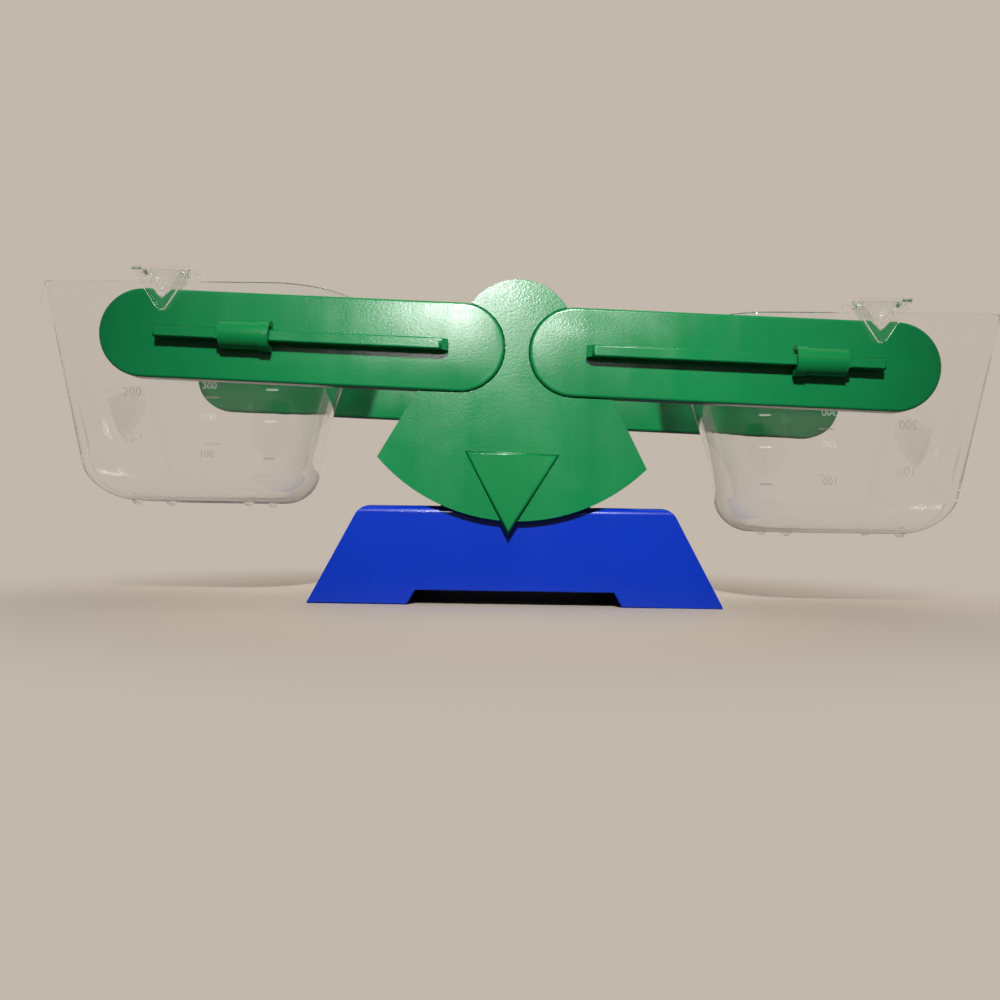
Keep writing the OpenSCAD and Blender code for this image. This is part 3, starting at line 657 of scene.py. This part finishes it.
def dress_mouldings():
    """Softens the edges of the stand, the cap and the beam's pieces, and gives the axle its steel."""
    softened("base_shell", BASE_EDGE, STAND_BLUE, "stand", BASE_EDGE_BELOW)
    softened("bearing_cap", CAP_EDGE, CAP_YELLOW, "stand")
    for face in ("front", "rear"):
        softened(f"{face}_hub", HUB_EDGE, BEAM_GREEN, "beam")
        softened(f"{face}_pointer", POINTER_EDGE, TRIM_GREEN, "beam")
        for side in ("left", "right"):
            softened(f"{face}_{side}_arm", ARM_EDGE, BEAM_GREEN, "beam")
            softened(f"{face}_{side}_slider", SLIDER_EDGE, TRIM_GREEN, f"{face}_{side}_slider")
            slider_lip(face, side)
    axle = frame["nodes"]["pivot_axle"].data
    axle.materials.clear()
    axle.materials.append(AXLE_STEEL)


# Stage, light and camera

def camera_or_glass(tree):
    """One for rays from the camera and for rays that have passed through glass, else zero."""
    path = add_node(tree, "ShaderNodeLightPath")
    either = add_node(tree, "ShaderNodeMath", operation="MAXIMUM")
    link(tree, path.outputs["Is Camera Ray"], either.inputs[0])
    link(tree, path.outputs["Is Transmission Ray"], either.inputs[1])
    return either.outputs[0]


def room_color(tree, pale):
    """Colour between that of the dim room and that of the backdrop, by a share."""
    shade = add_node(tree, "ShaderNodeMix", {"A": (*DIM_ROOM, 1), "B": (*BACKDROP, 1)}, data_type="RGBA")
    link(tree, pale, shade.inputs["Factor"])
    return shade.outputs["Result"]


def pale_floor():
    """A round floor, pale for the camera and in glass but dim in gloss, that fades into the backdrop."""
    around = np.linspace(0, 2 * math.pi, FLOOR_SIDES, endpoint=False)
    points = np.stack([FLOOR_R * np.cos(around), FLOOR_R * np.sin(around), 0 * around], axis=-1)
    mesh = bpy.data.meshes.new("floor")
    mesh.from_pydata(points.tolist(), [], [list(range(FLOOR_SIDES))])
    floor = bpy.data.objects.new("floor", mesh)
    bpy.context.scene.collection.objects.link(floor)
    material, tree, shader = new_material("pale_floor")
    set_values(shader, {"Roughness": 0.7})
    glow = add_node(tree, "ShaderNodeEmission")
    place = add_node(tree, "ShaderNodeTexCoord")
    length = add_node(tree, "ShaderNodeVectorMath", operation="LENGTH")
    fade = add_node(tree, "ShaderNodeMapRange", {"From Min": FADE_NEAR, "From Max": FADE_FAR},
                    interpolation_type="SMOOTHSTEP")
    mix = add_node(tree, "ShaderNodeMixShader")
    color = room_color(tree, camera_or_glass(tree))
    link(tree, color, shader.inputs["Base Color"])
    link(tree, color, glow.inputs["Color"])
    link(tree, place.outputs["Object"], length.inputs[0])
    link(tree, length.outputs["Value"], fade.inputs["Value"])
    link(tree, fade.outputs["Result"], mix.inputs["Fac"])
    link(tree, shader.outputs["BSDF"], mix.inputs[1])
    link(tree, glow.outputs["Emission"], mix.inputs[2])
    link(tree, mix.outputs["Shader"], tree.nodes["Material Output"].inputs["Surface"])
    mesh.materials.append(material)


def soft_world():
    """Room light, pale behind the balance and dim before it; the camera and glass see it pale all round."""
    world = bpy.data.worlds.new("room")
    bpy.context.scene.world = world
    world.use_nodes = True
    tree = world.node_tree
    place = add_node(tree, "ShaderNodeTexCoord")
    axes = add_node(tree, "ShaderNodeSeparateXYZ")
    behind = add_node(tree, "ShaderNodeMapRange", {"From Min": DIM_BEFORE, "From Max": PALE_BEHIND},
                      interpolation_type="SMOOTHSTEP")
    pale = add_node(tree, "ShaderNodeMath", operation="MAXIMUM")
    link(tree, place.outputs["Generated"], axes.inputs["Vector"])
    link(tree, axes.outputs["Y"], behind.inputs["Value"])
    link(tree, camera_or_glass(tree), pale.inputs[0])
    link(tree, behind.outputs["Result"], pale.inputs[1])
    link(tree, room_color(tree, pale.outputs[0]), tree.nodes["Background"].inputs["Color"])


def lamp(name, kind, at, target, power, color, **settings):
    """A lamp at one point that looks at another."""
    light = bpy.data.lights.new(name, kind)
    light.energy = power
    light.color = color
    for setting, value in settings.items():
        setattr(light, setting, value)
    holder = bpy.data.objects.new(name, light)
    holder.location = at
    holder.rotation_euler = (Vector(target) - Vector(at)).to_track_quat("-Z", "Y").to_euler()
    bpy.context.scene.collection.objects.link(holder)
    return holder


def light_balance():
    """A soft-edged spot from above the camera, a lamp that shows only in gloss, and a weak one behind."""
    lamp("key", "SPOT", at=(0, -0.62, 0.44), target=(0, -0.06, 0.085), power=25, color=(1.0, 0.97, 0.93),
         spot_size=math.radians(33.5), spot_blend=1.0, shadow_soft_size=0.022)
    glare = lamp("glare", "SPOT", at=(-0.065, -0.84, 0.315), target=(-0.012, -0.054, 0.108), power=9,
                 color=(1.0, 0.98, 0.96), spot_size=math.radians(15), spot_blend=1.0, shadow_soft_size=0.038)
    glare.visible_diffuse = False
    back = lamp("back", "AREA", at=(0.4, 1.0, 0.7), target=(0, 0, 0.08), power=7,
                color=(1.0, 0.98, 0.95), size=0.7)
    back.visible_glossy = back.visible_transmission = False


def photo_camera():
    """Camera whose axis is turned off +Y until lines along +Y meet at the measured pixel, then rolled."""
    yaw = math.atan((MEETING_PX[0] - IMAGE_PX / 2) / FOCAL_PX)
    pitch = math.atan((MEETING_PX[1] - IMAGE_PX / 2) / FOCAL_PX)
    ahead = Vector((-math.sin(yaw), math.cos(yaw) * math.cos(pitch), math.sin(pitch))).normalized()
    right = ahead.cross(Vector((0, 0, 1))).normalized()
    up = right.cross(ahead)
    rolled_right = right * math.cos(CAMERA_ROLL) + up * math.sin(CAMERA_ROLL)
    rolled_up = up * math.cos(CAMERA_ROLL) - right * math.sin(CAMERA_ROLL)
    camera = bpy.data.cameras.new("camera")
    camera.sensor_width = SENSOR_MM
    camera.lens = SENSOR_MM * FOCAL_PX / IMAGE_PX
    camera.clip_start = CAMERA_NEAR
    holder = bpy.data.objects.new("camera", camera)
    axes = Matrix((rolled_right, rolled_up, -ahead)).transposed()
    holder.matrix_world = Matrix.Translation(CAMERA_AT) @ axes.to_4x4()
    bpy.context.scene.collection.objects.link(holder)
    bpy.context.scene.camera = holder


dress_mouldings()
dress_buckets()
pale_floor()
soft_world()
light_balance()
photo_camera()
bpy.context.scene.view_settings.view_transform = "Standard"

# Rays cross many clear walls and turn back inside their edges before they leave a bucket
cycles = bpy.context.scene.cycles
cycles.max_bounces = cycles.transmission_bounces = cycles.glossy_bounces = LIGHT_BOUNCES
